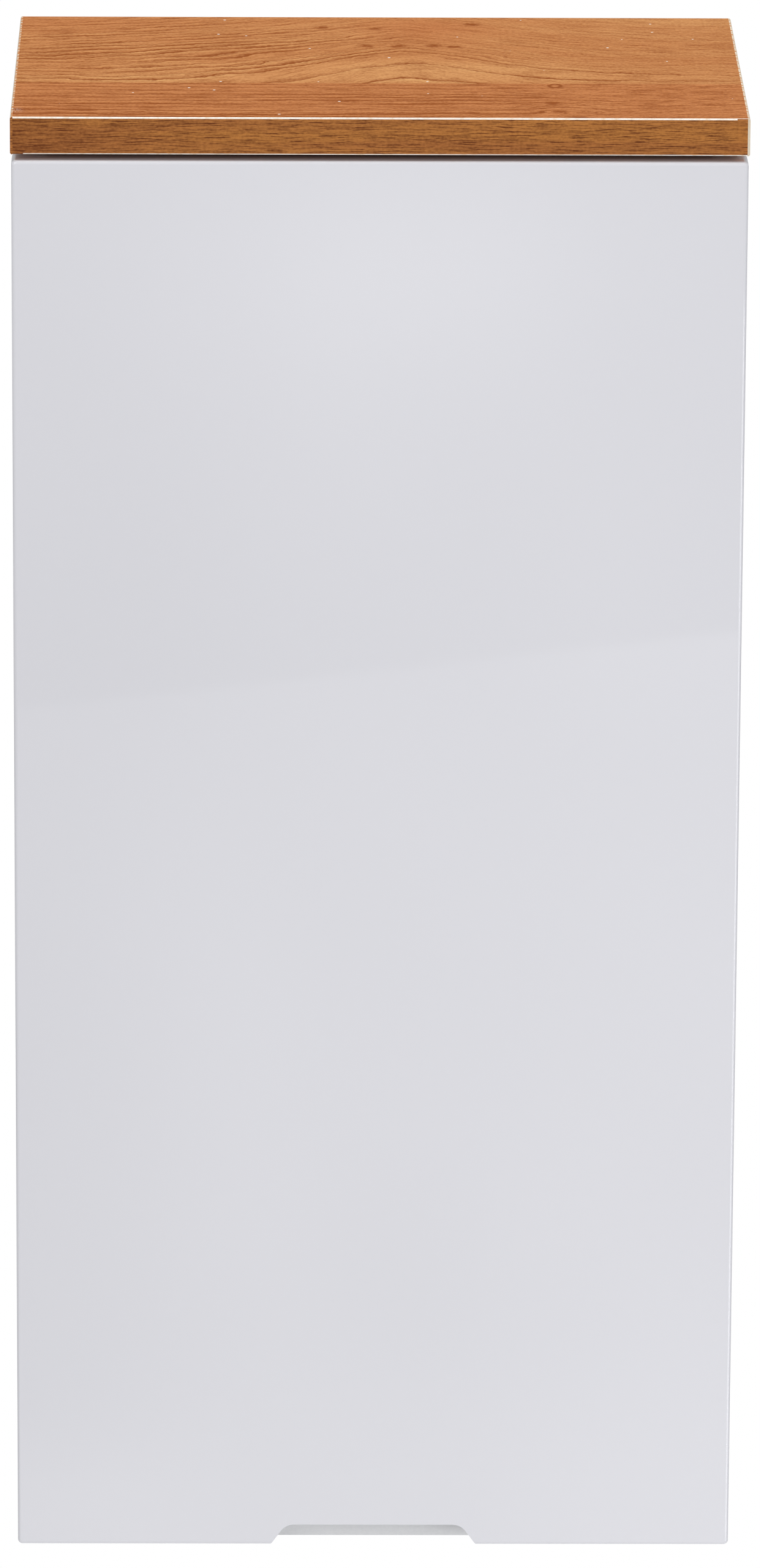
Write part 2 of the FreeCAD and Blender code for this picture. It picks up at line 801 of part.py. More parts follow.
def hanger_body():
    """Housing on the side panel: a tunnel for the hook, a chamfered foot and grooves on its face."""
    high = top_low - hanger_top_gap
    low = high - hanger_high
    right = -side_in + hanger_wide
    body = box(-side_in, right, hanger_front, hanger_rear, low, high)
    for size, level in ((hanger_chamfer, low), (hanger_shoulder, high)):
        rim = [e for e in body.Edges if along(e, X) and near(e.CenterOfMass.y, hanger_front)
               and near(e.CenterOfMass.z, level)]
        body = body.makeChamfer(size, rim)
    body = eased(body, hanger_round, Z, lambda c: near(c.y, hanger_front) and near(c.x, right))
    for count in range(1, hanger_groove_count + 1):
        middle = hanger_rear - count * hanger_groove_step
        groove = box(right - hanger_groove_deep, right, middle - hanger_groove / 2,
                     middle + hanger_groove / 2, low + hanger_groove_end, high - hanger_groove_end)
        body = body.cut(groove)
    tunnel = box(hook_x - hook_wide / 2 - hook_play, hook_x + hook_wide / 2 + hook_play,
                 hanger_rear - hook_length - hook_play, hanger_rear,
                 lip_high - hook_play, hook_high + hook_play)
    body = body.cut(tunnel)
    for z in hanger_fixings():
        start = vec(-side_in, fixing_y, z)
        body = body.cut(rod(fixing_r + joint_play, start, X, hanger_wide))
        seat = vec(-side_in + hanger_wide - fixing_head, fixing_y, z)
        body = body.cut(rod(fixing_head_r + joint_play, seat, X, fixing_head))
    for rise in hanger_screw_rise:
        start = vec(hook_x, hanger_front, low + rise)
        body = body.cut(rod(hanger_screw_r + joint_play, start, Y, hanger_screw_r * 2))
    return body


def hanger_hook():
    x0 = hook_x - hook_wide / 2
    x1 = hook_x + hook_wide / 2
    back = -hook_tip_gap
    arm = box(x0, x1, hanger_rear - hook_length, back, lip_high, hook_high)
    tip = box(x0, x1, back - hook_tip, back, lip_high - hook_tip_fall, lip_high)
    hook = arm.fuse(tip).removeSplitter()
    return eased(hook, hook_bend, X, lambda c: near(c.y, back) and near(c.z, hook_high))


def hanger_fixing_screws():
    screws = []
    face = vec(-side_in + hanger_wide - fixing_head, fixing_y, 0)
    for z in hanger_fixings():
        length = hanger_wide - fixing_head + fixing_long - joint_play
        screws.append(headed_screw(face + Z * z, fixing_r, length, fixing_head_r, fixing_head))
    return [s for screw in screws for s in both_sides(screw)]


def hanger_adjusters():
    low = top_low - hanger_top_gap - hanger_high
    screws = []
    for rise in hanger_screw_rise:
        start = vec(hook_x, hanger_front - hanger_screw_stub, low + rise)
        screw = rod(hanger_screw_r, start, Y, hanger_screw_stub + hanger_screw_r * 2)
        reach = hanger_screw_r - drive_slot
        for half_x, half_z in ((reach, drive_slot / 2), (drive_slot / 2, reach)):
            screw = screw.cut(box(start.x - half_x, start.x + half_x, start.y, start.y + drive_deep,
                                  start.z - half_z, start.z + half_z))
        screws += both_sides(screw)
    return screws


def wall_plate():
    x0 = -plate_x - wall_plate_wide / 2
    x1 = -plate_x + wall_plate_wide / 2
    low = top_low - wall_plate_low - hanger_top_gap
    fold = lip_high - wall_plate_lip
    flat = box(x0, x1, -wall_plate_thick, 0, low, fold + wall_plate_thick)
    flat = eased(flat, wall_plate_round, Y, lambda c: near(c.z, low))
    step = box(x0, x1, -wall_plate_joggle, 0, fold, fold + wall_plate_thick)
    lip = box(x0, x1, -wall_plate_joggle, -wall_plate_joggle + wall_plate_thick, fold, lip_high)
    lip = eased(lip, wall_plate_round, Y, lambda c: near(c.z, lip_high))
    plate = flat.fuse(step).fuse(lip).removeSplitter()
    for fall in wall_hole_fall:
        hole = rod(wall_hole_r, vec(-plate_x, -wall_plate_thick, top_low - fall), Y, wall_plate_thick)
        plate = plate.cut(hole)
    return plate


def build():
    os.makedirs("parts", exist_ok=True)

    # the board over the door, with its edgings
    save("top_board", top_board())
    save("top_edging_front", edge_strip(-half_width + edging, half_width - edging, door_front,
                                        door_front + edging, top_low, height, X,
                                        lambda c: near(c.y, door_front)))
    right = edge_strip(half_width - edging, half_width, door_front, 0, top_low, height, Y,
                       lambda c: near(c.x, half_width))
    save("top_edging_right", right)
    save("top_edging_left", mirrored(right))

    left_panel = side_panel()
    save("side_panel_left", with_plate_holes(left_panel))
    save("side_panel_right", mirrored(left_panel))
    side_strip = thin_strip(-side_out, -side_in, carcass_front, 0, top_low, Z)
    save("side_edging_left", side_strip)
    save("side_edging_right", mirrored(side_strip))
    save("bottom_panel", bottom_panel())
    save("bottom_edging", thin_strip(-side_in, side_in, carcass_front, 0, bottom_thick, X))
    save("back_panel", back_panel())

    for place_name, parts in (("top", cams_top()), ("bottom", cams_bottom())):
        cams, caps, bolts = parts
        save("cam_locks_" + place_name, cams)
        save("cam_caps_" + place_name, caps)
        save("cam_bolts_" + place_name, bolts)
    save("dowels_top", dowels_top())
    save("dowels_bottom", dowels_bottom())

    for name, step in zip(("lower", "upper"), shelf_steps):
        board, front_strip = shelf(step)
        save("shelf_" + name, board)
        save("shelf_edging_" + name, front_strip)
        save("shelf_pins_" + name, shelf_pins(step))

    save("door_panel", door_panel())
    save("door_buffers", door_buffers())

    for name, level in zip(("lower", "upper"), hinge_levels):
        stem = "hinge_" + name + "_"
        save(stem + "cup", lifted(hinge_cup(), level))
        save(stem + "cup_pins", lifted(cup_pins(), level))
        save(stem + "cup_screws", cup_screws(level))
        save(stem + "front_link", lifted(front_link(), level))
        save(stem + "rear_link", lifted(rear_link(), level))
        save(stem + "arm", lifted(hinge_arm(), level))
        save(stem + "arm_pins", lifted(arm_pins(), level))
        save(stem + "arm_screws", arm_screws(level))
        save(stem + "plate", lifted(hinge_plate(), level))
        save(stem + "plate_screws", plate_screws(level))

    body = hanger_body()
    save("hanger_body_left", body)
    save("hanger_body_right", mirrored(body))
    hook = hanger_hook()
    save("hanger_hook_left", hook)
    save("hanger_hook_right", mirrored(hook))
    save("hanger_fixing_screws", hanger_fixing_screws())
    save("hanger_adjusters", hanger_adjusters())
    plate = wall_plate()
    save("wall_plate_left", plate)
    save("wall_plate_right", mirrored(plate))


build()
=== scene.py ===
import math

import bpy
from mathutils import Matrix, Vector


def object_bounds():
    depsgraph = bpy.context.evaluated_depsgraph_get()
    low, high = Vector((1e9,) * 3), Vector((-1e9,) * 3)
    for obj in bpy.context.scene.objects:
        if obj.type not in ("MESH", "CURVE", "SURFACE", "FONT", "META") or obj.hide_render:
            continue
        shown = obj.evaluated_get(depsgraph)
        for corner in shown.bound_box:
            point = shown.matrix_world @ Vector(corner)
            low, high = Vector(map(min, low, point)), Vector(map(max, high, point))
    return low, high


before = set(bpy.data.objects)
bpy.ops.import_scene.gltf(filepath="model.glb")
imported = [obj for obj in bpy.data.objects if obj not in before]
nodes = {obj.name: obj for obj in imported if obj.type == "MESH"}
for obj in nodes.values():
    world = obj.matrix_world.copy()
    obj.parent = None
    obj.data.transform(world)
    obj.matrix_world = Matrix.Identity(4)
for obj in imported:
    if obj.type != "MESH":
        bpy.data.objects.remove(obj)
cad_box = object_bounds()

# the top board fills the whole box, seen from above
board_half = cad_box[1].x
board_rear = cad_box[1].y
board_depth = cad_box[1].y - cad_box[0].y


# shader trees

class Value:
    """A socket of a shader tree; a sum on values adds its Math nodes."""

    def __init__(self, tree, socket):
        self.tree = tree
        self.socket = socket

    def math(self, operation, *terms, clamp=False):
        settings = {"operation": operation, "use_clamp": clamp}
        return self.tree.node("ShaderNodeMath", settings, dict(enumerate(terms)), 0)

    def __add__(self, other):
        return self.math("ADD", self, other)

    def __radd__(self, other):
        return self.math("ADD", other, self)

    def __sub__(self, other):
        return self.math("SUBTRACT", self, other)

    def __rsub__(self, other):
        return self.math("SUBTRACT", other, self)

    def __mul__(self, other):
        return self.math("MULTIPLY", self, other)

    def __rmul__(self, other):
        return self.math("MULTIPLY", other, self)

    def __truediv__(self, other):
        return self.math("DIVIDE", self, other)

    def __rtruediv__(self, other):
        return self.math("DIVIDE", other, self)

    def __pow__(self, other):
        return self.math("POWER", self, other)

    def __neg__(self):
        return self.math("MULTIPLY", self, -1.0)

    def __gt__(self, other):
        return self.math("GREATER_THAN", self, other)

    def __lt__(self, other):
        return self.math("LESS_THAN", self, other)

    def abs(self):
        return self.math("ABSOLUTE", self)

    def clip(self):
        return self.math("ADD", self, 0.0, clamp=True)

    def exp(self):
        return self.math("EXPONENT", self)

    def sine(self):
        return self.math("SINE", self)

    def floor(self):
        return self.math("FLOOR", self)

    def fract(self):
        return self.math("FRACT", self)

    def at_least(self, other):
        return self.math("MAXIMUM", self, other)

    def rise(self, start, end):
        """Smooth from 0 at the start to 1 at the end; the start may be the larger."""
        sockets = {"Value": self, "From Min": min(start, end), "From Max": max(start, end)}
        if start > end:
            sockets.update({"To Min": 1.0, "To Max": 0.0})
        return self.tree.node("ShaderNodeMapRange", {"interpolation_type": "SMOOTHSTEP"}, sockets, 0)

    def hill(self, middle, half):
        """A smooth hill of height 1 about its middle; at the half width it is 0.37 high."""
        return (-(((self - middle) / half) ** 2.0)).exp()


class Tree:
    """A shader tree, with one method for all its nodes."""

    def __init__(self, tree):
        self.tree = tree

    def feed(self, socket, item):
        if isinstance(item, Value):
            self.tree.links.new(item.socket, socket)
        else:
            socket.default_value = item

    def node(self, kind, settings, sockets, *outs):
        """Adds a node by its type, settings and sockets, and gives its named outputs."""
        made = self.tree.nodes.new(kind)
        for name, setting in settings.items():
            setattr(made, name, setting)
        for place, item in sockets.items():
            self.feed(made.inputs[place], item)
        values = [Value(self, made.outputs[out]) for out in outs]
        return values[0] if len(values) == 1 else values

    def shown_to(self, rays, glow, plain):
        """The glow to the given kinds of rays, the plain shader to all others."""
        share = 0.0
        for ray in rays:
            share = self.node("ShaderNodeLightPath", {}, {}, ray).at_least(share)
        return self.node("ShaderNodeMixShader", {}, {0: share, 1: plain, 2: glow}, 0)


# short names for the shader's sockets
socket_names = {
    "colour": "Base Color",
    "rough": "Roughness",
    "metal": "Metallic",
    "specular": "Specular IOR Level",
    "transmission": "Transmission Weight",
    "ior": "IOR",
}


class Surface(Tree):
    """A material under construction, with the position and normal of the row frame."""

    def __init__(self, name):
        self.material = bpy.data.materials.new(name)
        self.material.use_nodes = True
        super().__init__(self.material.node_tree)
        self.shader = self.tree.nodes["Principled BSDF"]
        place, normal = self.node("ShaderNodeTexCoord", {}, {}, "Object", "Normal")
        self.x, self.y, self.z = self.node("ShaderNodeSeparateXYZ", {}, {0: place}, 0, 1, 2)
        self.nx, self.ny, self.nz = self.node("ShaderNodeSeparateXYZ", {}, {0: normal}, 0, 1, 2)

    def point(self, x, y, z):
        return self.node("ShaderNodeCombineXYZ", {}, {0: x, 1: y, 2: z}, 0)

    def noise(self, x, y, z, detail=2.0, rough=0.5):
        """Soft noise about 0.5, with its waves about one unit long."""
        sockets = {"Vector": self.point(x, y, z), "Scale": 1.0, "Detail": detail, "Roughness": rough}
        return self.node("ShaderNodeTexNoise", {}, sockets, 0)

    def flat_noise(self, x, y, seed, detail=2.0, rough=0.5):
        """Noise over two directions; each seed gives another pattern."""
        return self.noise(x, y, seed, detail, rough)

    def even_noise(self, per_metre, detail=2.0, rough=0.5):
        """Noise of the same fineness in all directions."""
        return self.noise(self.x * per_metre, self.y * per_metre, self.z * per_metre, detail, rough)

    def cells(self, x, y, z):
        """Distance to the nearest scattered point, and that point's own random number."""
        sockets = {"Vector": self.point(x, y, z), "Scale": 1.0}
        distance, colour = self.node("ShaderNodeTexVoronoi", {}, sockets, "Distance", "Color")
        return distance, self.node("ShaderNodeSeparateXYZ", {}, {0: colour}, 0)

    def blend(self, share, low, high):
        """A colour between two, by a share from 0 to 1."""
        settings = {"data_type": "RGBA", "clamp_factor": True}
        return self.node("ShaderNodeMix", settings, {0: share, 6: low, 7: high}, 2)

    def bump(self, height, distance):
        sockets = {"Distance": distance, "Height": height}
        self.feed(self.shader.inputs["Normal"], self.node("ShaderNodeBump", {}, sockets, 0))

    def finish(self, **looks):
        """Sets or links the shader's sockets by their short names, and hands over the material."""
        for name, item in looks.items():
            self.feed(self.shader.inputs[socket_names[name]], item)
        return self.material

    def finish_with(self, shader):
        """Puts another shader in the place of the material's own."""
        self.feed(self.tree.nodes["Material Output"].inputs["Surface"], shader)
        return self.material


def paint(material, *names):
    for name in names:
        mesh = nodes[name].data
        mesh.materials.clear()
        mesh.materials.append(material)


def srgb(*parts):
    """Linear colour, with an alpha of 1, from 0 to 255 display values."""
    out = []
    for part in parts:
        share = part / 255.0
        out.append(share / 12.92 if share <= 0.04045 else ((share + 0.055) / 1.055) ** 2.4)
    return (*out, 1.0)


def grey(level):
    return (level, level, level, 1.0)


# colours
oak_mid = srgb(200, 132, 74)
oak_dark = srgb(146, 76, 22)
oak_pale = srgb(220, 162, 100)
oak_rosy = srgb(196, 121, 65)
oak_edge_mid = srgb(175, 110, 58)
oak_edge_dark = srgb(106, 54, 22)
oak_edge_pale = srgb(187, 122, 61)
rim_front = srgb(248, 240, 230)
rim_side = srgb(228, 214, 192)
rim_tan = srgb(228, 206, 178)
chipboard_bark = srgb(112, 80, 50)
chipboard_dark = srgb(168, 130, 86)
chipboard_pale = srgb(228, 202, 160)
melamine_dim = srgb(232, 232, 231)
melamine_bright = srgb(241, 241, 239)
edging_dim = srgb(227, 227, 228)
edging_bright = srgb(237, 237, 237)
fibre_dark = srgb(136, 98, 62)
fibre_pale = srgb(190, 150, 106)
lacquer_dim = srgb(230, 230, 228)
lacquer_bright = srgb(240, 240, 238)
foil_dim = srgb(226, 225, 230)
foil_bright = srgb(230, 229, 234)
foil_mark = srgb(190, 188, 184)
satin_dim = srgb(230, 230, 230)
satin_bright = srgb(240, 240, 239)
beech_dark = srgb(196, 158, 108)
beech_pale = srgb(222, 190, 144)
buffer_dim = srgb(222, 226, 228)
buffer_bright = srgb(240, 242, 242)
cap_dim = srgb(226, 226, 225)
cap_bright = srgb(238, 238, 237)
hanger_dim = srgb(222, 221, 217)
hanger_bright = srgb(236, 235, 232)
cast_zinc_dark = srgb(150, 152, 156)
cast_zinc_pale = srgb(186, 188, 190)
bright_zinc_dark = srgb(176, 180, 186)
bright_zinc_pale = srgb(208, 210, 214)
nickel_dark = srgb(200, 197, 190)
nickel_pale = srgb(216, 213, 207)
steel_dark = srgb(180, 180, 184)
steel_pale = srgb(212, 212, 214)


def chip_colour(s):
    """Pressed wood chips, seen on raw edges and in bores."""
    chips_per_metre = 520.0
    crumbs_per_chip = 2.3
    dust_per_chip = 4.0
    bend = (s.even_noise(260.0) - 0.5) * 2.4
    x, y, z = (part * chips_per_metre + bend for part in (s.x, s.y, s.z))
    near, own = s.cells(x, y, z)
    fleck, tint = s.cells(*(part * crumbs_per_chip for part in (x, y, z)))
    dust = s.noise(*(part * dust_per_chip for part in (x, y, z)))
    light = (own * 0.55 + tint * 0.35 + dust * 0.3 - near * 0.2).clip()
    bark = (fleck > 0.62) * (tint > 0.7) * 0.6
    return s.blend(bark, s.blend(light, chipboard_dark, chipboard_pale), chipboard_bark)


# the top board's decor, laid out in shares of the board's width from the left
# and of its depth from the wall

seam = 0.665
crown = 0.54
first_arch = 0.345
arch_step = 0.10
line_step = 0.031
swirl_place = (0.785, 0.885)
ring_place = (0.740, 0.685)
ring_radii = (0.0082, 0.0150)
scuff_place = (0.008, 0.93)
freckle_radii = (0.0085, 0.0135)
freckle_places = (
    (0.424, 0.106), (0.498, 0.116), (0.634, 0.070), (0.485, 0.293), (0.530, 0.293),
    (0.579, 0.288), (0.608, 0.303), (0.735, 0.859), (0.744, 0.944), (0.770, 0.985))


class Decor:
    """The places on the board and the waverings that its lines share."""

    def __init__(self, s):
        self.s = s
        self.across = (s.x + board_half) / (2.0 * board_half)
        self.deep = (board_rear - s.y) / board_depth
        self.front = self.deep > seam
        self.rear = 1.0 - self.front
        self.sway = s.flat_noise(s.x * 9.0, s.y * 12.0, seed=3.1) - 0.5
        self.wave = s.flat_noise(s.x * 55.0, s.y * 70.0, seed=7.7) - 0.5
        self.tooth = s.flat_noise(s.x * 380.0, s.y * 240.0, seed=2.2, detail=1.0) - 0.5

    def either(self, rear, front):
        """One value on the rear plank, another on the front one."""
        return rear + (front - rear) * self.front

    def hill(self, place, halves):
        """A round hill about a place of the board."""
        return self.across.hill(place[0], halves[0]) * self.deep.hill(place[1], halves[1])


def arches(d):
    """How far a place lies inside the nested arches, and how closely their lines stand."""
    off = d.across - crown
    right = off.rise(-0.15, 0.15)
    within = (d.deep - first_arch).at_least(0.0)
    away = (off ** 2.0 + (within * 0.25 + 0.006) ** 2.0) ** 0.5
    reach = 0.33 - right * 0.13
    sharpness = 1.1 + right * 0.4
    drop = 0.30 - right * 0.065
    flare = 1.0 + within * 2.6 * d.across.hill(0.40, half=0.32)
    fall = (1.0 - (-((away / reach) ** sharpness)).exp()) * drop * flare
    inside = d.deep - first_arch - fall + d.sway * 0.06 + d.wave * 0.034 + d.tooth * 0.009
    crowding = 3.5 - 2.5 * d.across.hill(crown, half=0.60) * (inside > 0.0)
    return inside, crowding


def straight_lines(d):
    """The level that the front plank's straight lines follow."""
    uneven = d.s.flat_noise(d.s.y * 90.0, d.s.x * 2.0, seed=8.0, detail=1.0) - 0.5
    knots = d.hill((0.755, 0.90), halves=(0.05, 0.05))
    return d.deep + d.sway * 0.03 + d.wave * 0.016 + d.tooth * 0.007 + uneven * 0.035 + knots * 0.04


def line_clearness(d, inside):
    """How clearly the growth lines show over the board."""
    outer = (inside < -0.012) * (d.across - crown).rise(-0.06, 0.06) * 0.62
    flat_part = (1.0 - d.hill((0.60, 0.08), halves=(0.20, 0.22)) * 0.95) * (1.0 - outer)
    rear = flat_part * (d.across.rise(1.0, 0.60) * 0.66 + 0.34) * (d.deep.rise(0.0, 0.28) * 0.5 + 0.5)
    front = d.across.rise(0.82, 0.62) * (d.deep.rise(0.74, 0.80) * 0.8 + 0.3) + 0.12
    return d.either(rear, front)


def growth_lines(count, spacing):
    """Dark lines at whole counts, crisp towards the front and fading towards the wall."""
    phase = count.fract()
    ahead = phase * spacing
    behind = (1.0 - phase) * spacing
    core_ahead = ahead.rise(0.0045, 0.0008)
    core_behind = behind.rise(0.0060, 0.0010)
    fade = behind.rise(0.020, 0.0)
    glow = ahead.rise(0.014, 0.005)
    return core_ahead.at_least(core_behind), fade, glow


def knots_and_freckles(d):
    spots = 0.0
    for across, deep in freckle_places:
        beside = (d.across + d.tooth * 0.016).hill(across, freckle_radii[0])
        spots = beside * (d.deep + d.wave * 0.05).hill(deep, freckle_radii[1]) + spots
    ring_x = (d.across - ring_place[0] + d.wave * 0.006) / ring_radii[0]
    ring_y = (d.deep - ring_place[1] + d.tooth * 0.012) / ring_radii[1]
    ring = ((ring_x ** 2.0 + ring_y ** 2.0) ** 0.5).hill(1.0, half=0.32)
    return spots * 1.05 + ring * 0.95


def dust_and_scuff(d):
    """White specks of dust, and a scuff by the front left corner."""
    s = d.s
    near, own = s.cells(s.x * 70.0, s.y * 70.0, 0.5)
    dust = (near < 0.050) * (own > 0.35)
    worn = s.flat_noise(s.x * 1300.0, s.y * 900.0, seed=1.0).rise(0.48, 0.60)
    scuff = d.hill(scuff_place, halves=(0.007, 0.022)) * worn
    return (dust * 0.85 + scuff * 0.30).clip() * (s.nz > 0.5)


def oak_top():
    """Printed wood decor: a flamed plank towards the wall, a straight-grained one along the front."""
    s = Surface("oak_decor")
    d = Decor(s)
    inside, crowding = arches(d)
    level = straight_lines(d)
    count = d.either(inside * crowding / arch_step, level / line_step)
    core, fade, glow = growth_lines(count, d.either(arch_step / crowding, line_step))
    clear = line_clearness(d, inside)
    own = s.flat_noise(count.floor() * 7.31, s.x * d.either(13.0, 5.0), seed=1.5)
    inner = (inside > 0.03) * d.rear
    strength = ((own.rise(0.34, 0.60) * 0.90 + 0.10 + inner * 0.35) * clear).clip()

    # fibres and pores between the lines
    ridge = (d.hill((0.60, 0.52), halves=(0.22, 0.085)) + d.deep.hill(0.62, half=0.045) * 0.45
             + d.hill((0.97, 0.0), halves=(0.20, 0.22)) * 0.5)
    pale = ridge.clip() * d.rear
    grain = s.flat_noise(count * 2.4, s.x * 30.0, seed=9.0, detail=3.0, rough=0.75).rise(0.44, 0.64)
    along_lines = (d.either(inside, level) + d.tooth * 0.004) * 120.0
    fibre = s.flat_noise(along_lines, s.x * 34.0, seed=6.0, detail=3.0, rough=0.7).rise(0.46, 0.62)
    along_board = (d.deep + d.tooth * 0.010) * 190.0
    hair = s.flat_noise(along_board, s.x * 75.0, seed=2.0, detail=2.0, rough=0.7).rise(0.46, 0.62)
    mottle = s.flat_noise(s.x * 620.0, s.y * 420.0, seed=5.0) - 0.5
    lively = (fibre + hair - 0.66) * d.across.rise(0.50, 0.80) * d.front * 0.16
    dark = ((core * 0.70 + fade * 0.46) * strength + grain * (clear * 0.20 + 0.12)
            + fibre * (0.34 - pale * 0.22) + hair * (0.26 - pale * 0.14) + mottle * 0.90 + lively
            + knots_and_freckles(d) + d.across.rise(0.35, 1.0) * 0.13)

    # the planks' broad tones under the lines
    broad = s.flat_noise(s.x * 14.0, count * 0.35, seed=4.0).rise(0.40, 0.66)
    swirl = d.hill(swirl_place, halves=(0.045, 0.055))
    light = pale * 0.60 + broad * 0.22 + glow * strength * 0.50 + swirl * 0.45
    rosy = (d.front * 0.70 + d.hill((0.57, 0.12), halves=(0.09, 0.14)) * 0.8
            + d.hill((0.0, 0.0), halves=(0.25, 0.2)) * 0.6).clip()
    tone = s.blend(rosy, s.blend(light, oak_mid, oak_pale), oak_rosy)
    printed = s.blend((dark * d.either(1.035, 1.17)).clip(), tone, oak_dark)
    worn = s.blend(dust_and_scuff(d), printed, rim_front)
    colour = s.blend(s.nz.abs().rise(0.4, 0.6), chip_colour(s), worn)
    s.bump(-dark, 0.00005)
    return s.finish(colour=colour, rough=0.46 + dark * 0.12, specular=0.08)


def edging_print(s, along, extra_dark=0.0):
    """The edging's wood print: short pores along its length on a banded ground."""
    sway = s.flat_noise(along * 14.0, s.z * 40.0, seed=2.0) - 0.5
    wiggle = s.flat_noise(along * 120.0, s.z * 120.0, seed=6.0) - 0.5
    height = s.z + sway * 0.0022 + wiggle * 0.0007
    broad = s.flat_noise(along * 5.0, height * 110.0, seed=4.0).rise(0.35, 0.65)
    band = s.flat_noise(along * 14.0, height * 420.0, seed=8.0, detail=3.0, rough=0.65).rise(0.42, 0.66)
    fine = s.flat_noise(along * 70.0, height * 1500.0, seed=1.0, detail=3.0, rough=0.65).rise(0.47, 0.58)
    dash = s.flat_noise(along * 90.0, height * 2300.0, seed=6.0, detail=1.0).rise(0.58, 0.63)
    hair = s.flat_noise(along * 60.0, height * 1700.0, seed=3.0, detail=1.0).rise(0.61, 0.65)
    mottle = s.flat_noise(along * 620.0, s.z * 900.0, seed=5.0) - 0.5
    dark = band * 0.18 + fine * 0.26 + dash * 0.42 + hair * 0.50 + mottle * 0.8 + extra_dark
    ground = s.blend(broad, oak_edge_mid, oak_edge_pale)
    return dark, s.blend((dark * 1.3).clip(), ground, oak_edge_dark)


def finish_edging(s, along, printed, dark, colour, core):
    """Printed faces with pale raw rims."""
    speckle = s.flat_noise(along * 300.0, s.z * 300.0, seed=1.0).rise(0.4, 0.8)
    s.bump(-dark, 0.00005)
    edging = s.blend(printed, s.blend(speckle, core, rim_tan), colour)
    return s.finish(colour=edging, rough=0.42 + dark * 0.10, specular=0.12)


def oak_edging_front():
    """The front edging; its pale rims stop short of one upper and one lower corner."""
    s = Surface("oak_edging_front")
    corner_gap = 0.0062
    dark, colour = edging_print(s, s.x, s.x.hill(-board_half, half=0.045) * 0.20)
    outward = -s.ny
    upper_end = (s.x > board_half - corner_gap) * (s.nz > 0.0)
    lower_end = (s.x < corner_gap - board_half) * (s.nz < 0.0)
    printed = (outward.rise(0.90, 0.95) + (upper_end + lower_end) * outward.rise(0.2, 0.45)).clip()
    return finish_edging(s, s.x, printed, dark, colour, rim_front)


def oak_edging_side():
    """The side edgings; their upper rims are covered but for small chips."""
    s = Surface("oak_edging_side")
    dark, colour = edging_print(s, s.y)
    chipped = (s.flat_noise(s.y * 420.0, 3.0, seed=1.0, detail=3.0) + (s.x > 0.0) * 0.05).rise(0.50, 0.55)
    top = s.nz.rise(0.74, 0.86) * (1.0 - chipped)
    left_end = (s.x < 0.0) * s.ny.rise(-0.2, -0.4)
    printed = (s.nx.abs().rise(0.90, 0.95) + top + left_end).clip()
    return finish_edging(s, s.y, printed, dark, s.blend(top, colour, oak_mid), rim_side)


def white_board(name, raw_axis):
    """Fine-grained white melamine; the uncoated edges and bores show chipboard."""
    s = Surface(name)
    grain = s.even_noise(900.0)
    cloud = s.even_noise(9.0, detail=3.0)
    coat = s.blend(grain * 0.5 + cloud * 0.5, melamine_dim, melamine_bright)
    faced = {"x": s.nx, "z": s.nz}[raw_axis].abs().rise(0.6, 0.8)
    s.bump(grain, 0.00004)
    return s.finish(colour=s.blend(faced, chip_colour(s), coat), rough=0.40 + grain * 0.15)


def white_edging():
    s = Surface("white_edging")
    grain = s.even_noise(700.0)
    s.bump(grain, 0.00003)
    return s.finish(colour=s.blend(grain, edging_dim, edging_bright), rough=0.34 + grain * 0.1)


def hardboard():
    """Back panel: white lacquer inside, brown fibre towards the wall."""
    s = Surface("back_hardboard")
    mesh_per_metre = 2200.0
    fibre = s.noise(s.x * 500.0, s.z * 500.0, s.y * 500.0, detail=4.0, rough=0.7)
    weave = (s.x * mesh_per_metre).sine() * (s.z * mesh_per_metre).sine()
    brown = s.blend(fibre * 0.8 + weave * 0.12, fibre_dark, fibre_pale)
    cloud = s.flat_noise(s.x * 60.0, s.z * 60.0, seed=1.0, detail=3.0)
    lacquer = s.blend(cloud, lacquer_dim, lacquer_bright)
    s.bump(fibre * 0.6 + weave * 0.4, 0.00008)
    colour = s.blend(s.ny.rise(-0.5, -0.8), brown, lacquer)
    return s.finish(colour=colour, rough=0.36 + s.ny.rise(-0.8, 0.0) * 0.45)


def door_foil():
    """High-gloss foil on the front and its rounded edges, satin melamine behind."""
    s = Surface("door_foil")
    cloud = s.flat_noise(s.x * 3.0, s.z * 2.0, seed=1.0)
    dust, own = s.cells(s.x * 40.0, s.y * 40.0, s.z * 40.0)
    mark = (dust < 0.012) * (own > 0.9)
    gloss = s.blend(mark * 0.5, s.blend(cloud.rise(0.3, 0.7), foil_dim, foil_bright), foil_mark)
    satin = s.blend(s.flat_noise(s.x * 700.0, s.z * 700.0, seed=1.0), satin_dim, satin_bright)
    behind = s.ny.rise(0.7, 0.9)
    s.bump(s.even_noise(26.0), 0.000004)
    return s.finish(colour=s.blend(behind, gloss, satin), rough=0.014 + behind * 0.38 + cloud * 0.006)


def metal(name, low, high, rough, streak):
    """Plated or cast metal with drawing streaks, fine pits and faint blotches."""
    s = Surface(name)
    blotch = s.even_noise(120.0, detail=3.0)
    pits = s.even_noise(2400.0)
    line = s.noise(s.x * 500.0, s.y * 3000.0, s.z * 3000.0)
    light = (blotch * 0.5 + line * streak + pits * 0.15).clip()
    s.bump(line * streak + pits * 0.3, 0.000012)
    return s.finish(colour=s.blend(light, low, high), metal=1.0,
                    rough=rough + blotch * 0.10 + line * (0.1 * streak))


